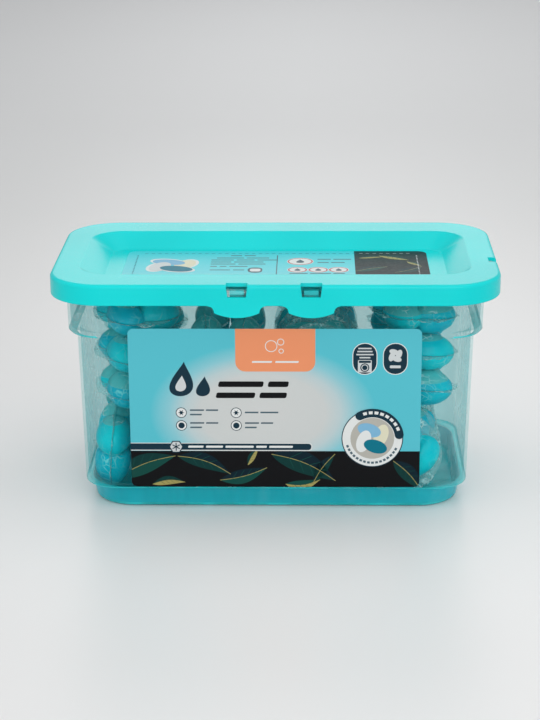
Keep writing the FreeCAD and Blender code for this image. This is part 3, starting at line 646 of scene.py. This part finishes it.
def lobes(u, v, scale, colours, layer):
    # The four swirled chambers of a pod as flat ovals that overlap one after the other.
    shapes = []
    for index, name in enumerate(colours):
        turn = 90 * index + 20
        lean = math.radians(turn + pod["chamberSwirl"])
        cu = u + scale * pod["chamberOffset"] * math.cos(math.radians(turn))
        cv = v + scale * pod["chamberOffset"] * math.sin(math.radians(turn))
        oval = []
        for step in range(32):
            angle = math.tau * step / 32
            x = scale * pod["chamberLength"] * 0.9 * math.cos(angle)
            y = scale * pod["chamberWidth"] * 0.72 * math.sin(angle)
            oval.append((cu + x * math.cos(lean) - y * math.sin(lean),
                         cv + x * math.sin(lean) + y * math.cos(lean)))
        shapes.append((name, layer + index, oval))
    return shapes


def bars(name, layer, u, v, height, widths, gap, lean=0.0):
    # Plain bars where the real print has words.
    shapes = []
    for width in widths:
        shapes.append((name, layer, slanted(box(u, v, u + width, v + height, height * 0.3), v, lean)))
        u += width + gap
    return shapes


front = {
    "tab": (45.1, 52.3, 78.7, 71.3, 4.2),
    "strip": (16.9, 19.8, 77.1), "field": 16.4, "corner": 2.4,
    "icons": [(21.9, 33.8), (21.9, 28.0), (45.2, 33.8), (45.2, 28.0)], "iconRadius": 2.35,
    "badges": [(94.6, 51.3, 104.4, 64.7), (107.4, 51.3, 117.2, 64.7)],
    "seal": (103.0, 22.3), "sealRadius": 13.1, "sealInner": 9.3,
    "star": (19.4, 18.3, 3.1, 2.6, 1.8, 0.22),  # place, the two discs' radii, the arms' reach and half width
    "bubbles": [(60.2, 63.6, 2.6), (64.2, 65.4, 1.5), (64.4, 61.4, 1.1)],
    "dropBase": 41.2, "dropLean": 0.12,
    "drops": [  # ink, layer, place, radius and height
        ("navy", 1, 21.6, 41.2, 5.6, 15.6), ("pale", 2, 21.4, 43.4, 2.5, 7.2), ("navy", 1, 31.0, 41.2, 3.3, 9.0),
    ],
    "words": [  # ink, layer, place, height, widths, gap and lean of each row of bars
        ("black", 1, 37.6, 45.4, 2.5, (19.0, 8.6), 2.0, 0.2),
        ("black", 1, 36.6, 40.4, 2.5, (16.4, 11.4), 2.0, 0.2),
    ],
    "leaves": [  # place, length, width, turn, bend and the inks of the two halves
        (-6, 4, 27, 9, 22, 0.06, "leafLight", "leaf"), (20, 14, 24, 7, -20, 0.08, "leaf", "leafBlue"),
        (38, 3, 21, 6.5, 16, -0.05, "leafLight", "leafBlue"),
        (60, 15, 30, 10, -24, 0.07, "leaf", "leafBlue"),
        (78, 2, 16, 5, 55, 0.05, "leaf", "leafBlue"), (112, 12, 18, 7, -48, 0.06, "leaf", "leafBlue"),
        (9, 1, 14, 4, 4, 0.1, "leafGold", "leaf"), (66, 1.2, 15, 4.5, 8, -0.1, "leafGold", "leafLight"),
        (50, 10, 9, 3, 60, 0.05, "leafGold", "leaf"),
    ],
}


def frontShapes(width, height):
    corner = front["corner"]
    sheet = box(0, 0, width, height, corner)
    shapes = [("black", 1, box(0, 0, width, front["field"], corner, (1, 1, 0, 0)))]
    window = box(0, 0, width, front["field"], corner, (1, 1, 0, 0))
    for u, v, length, wide, angle, bend, light, dark in front["leaves"]:
        shapes += leaf(u, v, length, wide, angle, bend, light, dark, window, 2)
    low, high, end = front["strip"]
    shapes.append(("white", 4, box(0, low - 0.35, end + 0.35, high + 0.3, 1.6, (0, 1, 1, 0))))
    shapes.append(("navy", 5, box(0, low, end, high, 1.3, (0, 1, 1, 0))))
    shapes += bars("white", 6, 24.5, low + 1.0, 0.95, (6.5, 7.2, 12.0, 4.5, 10.0), 1.1, 0.18)
    u, v, outer, inner, arm, half = front["star"]
    shapes.append(("navy", 6, disc(u, v, outer, 6)))
    shapes.append(("pale", 7, disc(u, v, inner, 6)))
    for turn in range(3):
        angle = math.radians(60 * turn + 30)
        du, dv = arm * math.cos(angle), arm * math.sin(angle)
        su, sv = -half * math.sin(angle), half * math.cos(angle)
        shapes.append(("navy", 8, [(u - du - su, v - dv - sv), (u + du - su, v + dv - sv),
                                   (u + du + su, v + dv + sv), (u - du + su, v - dv + sv)]))
    u0, v0, u1, v1, radius = front["tab"]
    shapes.append(("orange", 1, box(u0, v0, u1, height, radius, (1, 1, 0, 0))))
    for u, v, radius in front["bubbles"]:
        for start in (0, 180):
            shapes.append(("white", 2, band(u, v, radius - 0.32, radius, start, start + 180, 18)))
    shapes += bars("white", 2, 52.0, 56.2, 0.8, (8.4, 9.8), 1.4, 0.3)
    for name, level, u, v, radius, tall in front["drops"]:
        shapes.append((name, level, slanted(drop(u, v, radius, tall), front["dropBase"], front["dropLean"])))
    for row in front["words"]:
        shapes += bars(*row)
    for index, (u, v) in enumerate(front["icons"]):
        radius = front["iconRadius"]
        for start in (0, 180):
            shapes.append(("navy", 2, band(u, v, radius - 0.3, radius, start, start + 180, 18)))
        shapes.append(("white", 1, disc(u, v, radius)))
        if index % 2:
            shapes.append(("navy", 2, disc(u, v, 1.35, 24)))
        else:
            shapes.append(("navy", 2, [(u + r * math.cos(a), v + r * math.sin(a)) for r, a in
                                       [((1.4, 0.6)[step % 2], math.tau * step / 12) for step in range(12)]]))
        rows = ((1.4, (6.0, 5.2)), (-0.6, (5.0,))) if index != 2 else ((0.4, (5.8, 7.6)),)
        for dv, widths in rows:
            shapes += bars("slate", 1, u + 3.6, v + dv - 0.6, 0.7, widths, 0.8, 0.2)
    for index, (u0, v0, u1, v1) in enumerate(front["badges"]):
        shapes.append(("white", 1, box(u0 - 0.35, v0 - 0.35, u1 + 0.35, v1 + 0.35, 5.1)))
        shapes.append(("navy", 2, box(u0, v0, u1, v1, 4.8)))
        middle = (u0 + u1) / 2
        if index == 0:
            for row, wide in enumerate((5.6, 6.4, 7.2, 4.6)):
                shapes += bars("pale", 3, middle - wide / 2, v1 - 2.4 - 1.35 * row, 0.6, (wide,), 0)
            shapes.append(("pale", 3, box(middle - 2.9, v0 + 0.7, middle + 2.9, v0 + 6.2, 0.5)))
            shapes.append(("navy", 4, box(middle - 2.5, v0 + 4.9, middle + 2.5, v0 + 5.9, 0.2)))
            shapes.append(("navy", 4, disc(middle, v0 + 2.8, 1.9)))
            shapes.append(("pale", 5, disc(middle, v0 + 2.8, 1.45)))
            shapes.append(("navy", 6, disc(middle, v0 + 2.8, 1.1)))
        else:
            shapes += lobes(middle, v0 + 8.2, 0.2, ("pale", "pale", "pale", "pale"), 3)
            shapes += bars("pale", 3, middle - 2.3, v0 + 2.6, 1.2, (4.6,), 0)
    u, v = front["seal"]
    shapes.append(("navy", 4, disc(u, v, front["sealRadius"], 64)))
    shapes.append(("white", 5, disc(u, v, front["sealRadius"] - 0.4, 64)))
    shapes.append(("grey", 6, disc(u, v, front["sealInner"], 48)))
    shapes += lobes(u, v, 0.49, ("cream", "sky", "white", "teal"), 7)
    for start in range(196, 340, 9):
        shapes.append(("slate", 6, band(u, v, 10.6, 11.6, start, start + 6, 4)))
    shapes.append(("navy", 12, band(u, v, 9.6, 13.4, 8, 118, 28, True)))
    for start in range(18, 104, 12):
        shapes.append(("white", 13, band(u, v, 11.0, 12.3, start, start + 8, 5)))
    return [(name, level, clipTo(points, sheet)) for name, level, points in shapes]


top = {
    "inset": 4.3, "picture": (21.0, 27.5, 0.72), "divider": (66.6, 10.0, 44.8),
    "field": (101.0, 11.4),
    "rings": [(77.0, 34.3, 5.6), (75.9, 20.4, 4.2), (84.9, 20.4, 4.2), (93.8, 20.4, 4.2)],
    "badge": (54.4, 15.6, 60.6, 24.2), "badgeWindow": (55.2, 17.6, 59.8, 22.2),
    "words": [  # height on the label, indent and widths of each row of bars
        (43.6, 10.0, (5.0, 5.0)), (39.6, 4.0, (12.0, 10.0)), (36.2, 1.6, (10.0, 8.0, 9.0)),
        (32.8, 1.6, (9.0, 13.0)), (29.4, 1.6, (11.0, 12.0)), (25.4, 1.6, (3.0, 3.0, 8.0)),
        (19.6, 1.6, (9.0, 5.0, 6.0)),
    ],
    "notes": [(84.6, 37.4, (6.0, 8.0)), (84.6, 32.0, (5.0, 6.0)), (72.4, 14.0, (8.0, 9.0, 5.0))],
    "leaves": [
        (101, 18, 16, 7, 28, 0.06, "leafLight", "leafBlue"), (112, 44, 15, 6, -30, 0.06, "leafGold", "leaf"),
        (118, 16, 16, 7, 40, -0.06, "leaf", "leafBlue"), (103, 40, 11, 4, 10, 0.08, "leafGold", "leaf"),
        (124, 34, 9, 3.5, -50, 0.05, "leafGold", "leafLight"),
    ],
}


def topShapes(width, height):
    sheet = box(0, 0, width, height, 4.0)
    u0, v0 = top["field"]
    window = box(u0, v0, width, height, 4.0, (0, 0, 1, 0))
    shapes = [("black", 1, window)]
    for u, v, length, wide, angle, bend, light, dark in top["leaves"]:
        shapes += leaf(u, v, length, wide, angle, bend, light, dark, window, 2)
    inset = top["inset"]
    for step in range(int((width - 2 * inset - 4) / 3)):
        u = inset + 3 + 3 * step
        name = "pale" if u > u0 else "teal"
        shapes.append((name, 5, box(u, height - inset, u + 1.5, height - inset + 0.45)))
        shapes.append(("teal", 5, box(u, inset - 0.45, u + 1.5, inset)))
    for step in range(int((height - 2 * inset - 4) / 2.4)):
        v = inset + 3 + 2.4 * step
        shapes.append(("teal", 5, box(inset, v, inset + 0.5, v + 1.2)))
        shapes.append(("pale" if v > v0 else "teal", 5, box(width - inset - 0.5, v, width - inset, v + 1.2)))
    u, v, scale = top["picture"]
    for name, level, points in lobes(u, v, scale * 1.12, ("white",) * 4, 1):
        shapes.append((name, 1, points))
    shapes += lobes(u, v, scale, ("cream", "sky", "pale", "teal"), 3)
    for v, indent, widths in top["words"]:
        shapes += bars("slate", 1, 36.0 + indent, v, 1.1, widths, 1.2)
    shapes.append(("slate", 1, box(*top["badge"], 2.8)))
    shapes.append(("white", 2, box(*top["badgeWindow"], 1.2)))
    u, low, high = top["divider"]
    shapes.append(("slate", 1, box(u, low, u + 0.45, high)))
    for u, v, radius in top["rings"]:
        shapes.append(("white", 1, disc(u, v, radius + 0.3)))
        shapes.append(("red", 2, disc(u, v, radius)))
        shapes.append(("white", 3, disc(u, v, radius - 0.7)))
        shapes.append(("slate", 4, drop(u, v - radius * 0.45, radius * 0.35, radius)))
    for u, v, widths in top["notes"]:
        shapes += bars("slate", 1, u, v, 1.1, widths, 1.0)
    return [(name, level, clipTo(points, sheet)) for name, level, points in shapes]


def printPiece(name, corner, across, up, shapes, materials):
    normal = across.cross(up)
    names = list(materials)
    points, faces, picked = [], [], []
    for inkName, level, outline in shapes:
        if len(outline) < 3:
            continue
        start = len(points)
        lift = printFinish["lift"] * (level + 0.5)
        points += [corner + across * (u * mm) + up * (v * mm) + normal * lift for u, v in outline]
        faces.append(range(start, len(points)))
        picked.append(names.index(inkName))
    return newPiece(name, points, faces, list(materials.values()), picked, False)


inkMaterials = {name: ink(name, hexCode) for name, hexCode in inks.items()}

low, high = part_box("front_label")
lowFront = Vector((low.x, high.y - printFinish["film"], low.z))
lean = Vector((0, low.y - lowFront.y, high.z - low.z))
frontPrint = printPiece("front_print", lowFront, Vector((1, 0, 0)), lean.normalized(),
                        frontShapes((high.x - low.x) / mm, lean.length / mm), inkMaterials)
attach(frontPrint, "tub")
paleMiddle = (low.x + 56.4 * mm, 0, low.z + 33.6 * mm)
paleStops = [(0.0, "#c7c9c8"), (0.56, "#c3c7c6"), (0.69, "#b4c6c9"), (0.83, "#86c1cb"), (1.0, "#54b9c7")]
dress("front_label", printedFilm("front", paleMiddle, (48 * mm, 1, 31 * mm), paleStops))

low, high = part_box("top_label")
topPrint = printPiece("top_print", Vector((low.x, low.y, high.z)), Vector((1, 0, 0)), Vector((0, 1, 0)),
                      topShapes((high.x - low.x) / mm, (high.y - low.y) / mm), inkMaterials)
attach(topPrint, "lid")
dress("top_label", printedFilm("top", (0, low.y, 0), (1, high.y - low.y, 1),
                               [(0.0, "#7fd4dc"), (0.6, "#62cfd8"), (1.0, "#3cc9d2")]))
print("labels printed")


# Studio: a seamless pale sweep with a painted falloff of the light and painted shade on its left, soft lamps and
# the camera of the photograph.

studio = {
    "front": -1.6, "wall": 1.7, "bend": 0.9, "half": 3.0, "height": 2.4,  # metres
    # The ramp is a painted falloff of the light, darker towards the back; the left of the sweep gets painted
    # shade.
    "paintedFalloff": [(0.0, "#e6e6e6"), (0.28, "#e3e3e3"), (0.46, "#d3d4d4"), (0.75, "#c7c8c9"), (1.0, "#bdbebf")],
    "nearest": -0.5, "farthest": 1.65, "leftPaintedShade": 0.9, "leftReach": -0.55,
}


def sweep():
    profile = [(studio["front"], 0.0), (0.0, 0.0), (studio["wall"] - studio["bend"], 0.0)]
    for step in range(1, 17):
        angle = math.pi / 2 * step / 16
        profile.append((studio["wall"] - studio["bend"] + studio["bend"] * math.sin(angle),
                        studio["bend"] * (1 - math.cos(angle))))
    profile.append((studio["wall"], studio["height"]))
    points = [(side * studio["half"], y, z) for y, z in profile for side in (-1, 1)]
    faces = [(2 * index, 2 * index + 1, 2 * index + 3, 2 * index + 2) for index in range(len(profile) - 1)]
    material, tree = newMaterial("paintedBackdrop")
    place = addNode(tree, "ShaderNodeTexCoord")
    split = addNode(tree, "ShaderNodeSeparateXYZ", links={0: place.outputs["Object"]})
    # Painted falloff of the light: the sweep darkens towards the back and up the wall.
    far = spread(tree, split.outputs["Y"], 0, 1, studio["nearest"], studio["farthest"])
    colour = ramp(tree, far.outputs["Result"], studio["paintedFalloff"])
    # Painted shade: the sweep dims towards the left.
    leftShade = spread(tree, split.outputs["X"], studio["leftPaintedShade"], 1, studio["leftReach"], 0)
    shaded = addNode(tree, "ShaderNodeVectorMath", settings={"operation": "SCALE"},
                     links={0: colour.outputs["Color"], "Scale": leftShade.outputs["Result"]})
    shader = addNode(tree, "ShaderNodeBsdfPrincipled", values={"Roughness": 0.35, "Specular IOR Level": 0.5},
                     links={"Base Color": shaded.outputs[0]})
    finishMaterial(tree, shader)
    backdrop = newPiece("backdrop", points, faces, [material], [0] * len(faces), True)


def areaLamp(name, place, aim, size, power):
    lamp = bpy.data.lights.new(name, "AREA")
    lamp.shape, lamp.size, lamp.energy = "DISK", size, power
    holder = bpy.data.objects.new(name, lamp)
    holder.location = place
    holder.rotation_euler = (Vector(aim) - Vector(place)).to_track_quat("-Z", "Y").to_euler()
    bpy.context.scene.collection.objects.link(holder)


sweep()
middle = (0, 0, 0.05)
areaLamp("overhead", (0.3, -0.1, 1.5), middle, 1.4, 3.1)
areaLamp("key", (0.5, -1.7, 1.0), middle, 1.5, 9.5)
areaLamp("fill", (0.0, -1.25, 0.12), middle, 0.5, 1.1)
areaLamp("strip", (0.0, 1.0, 0.5), middle, 0.7, 1.3)

world = bpy.data.worlds.new("studioLight")
bpy.context.scene.world = world
world.use_nodes = True
world.node_tree.nodes.clear()
background = addNode(world.node_tree, "ShaderNodeBackground",
                     values={"Color": linear("#fafafa"), "Strength": 0.88})
addNode(world.node_tree, "ShaderNodeOutputWorld", links={"Surface": background.outputs[0]})

view = {
    "target": (-3.017 * mm, 0, 53.303 * mm), "distance": 875.107 * mm, "azimuth": 1.332, "elevation": 17.991,
    "roll": -0.343, "focal": 1969.653, "longSide": 720, "sensor": 36.0,  # focal and long side in photo pixels
}


def photoCamera():
    azimuth, elevation = math.radians(view["azimuth"]), math.radians(view["elevation"])
    back = Vector((math.sin(azimuth) * math.cos(elevation), -math.cos(azimuth) * math.cos(elevation),
                   math.sin(elevation)))
    right = (-back).cross(Vector((0, 0, 1))).normalized()
    up = right.cross(-back)
    roll = math.radians(view["roll"])
    across = right * math.cos(roll) + up * math.sin(roll)
    upright = up * math.cos(roll) - right * math.sin(roll)
    data = bpy.data.cameras.new("photoCamera")
    data.sensor_width = view["sensor"]
    data.lens = view["focal"] / view["longSide"] * view["sensor"]
    data.clip_start, data.clip_end = 0.05, 20
    camera = bpy.data.objects.new("photoCamera", data)
    camera.matrix_world = Matrix.Translation(Vector(view["target"]) + back * view["distance"]) @ Matrix(
        (across, upright, back)).transposed().to_4x4()
    bpy.context.scene.collection.objects.link(camera)
    bpy.context.scene.camera = camera


photoCamera()
bpy.context.scene.view_settings.view_transform = "Standard"
print("studio set")
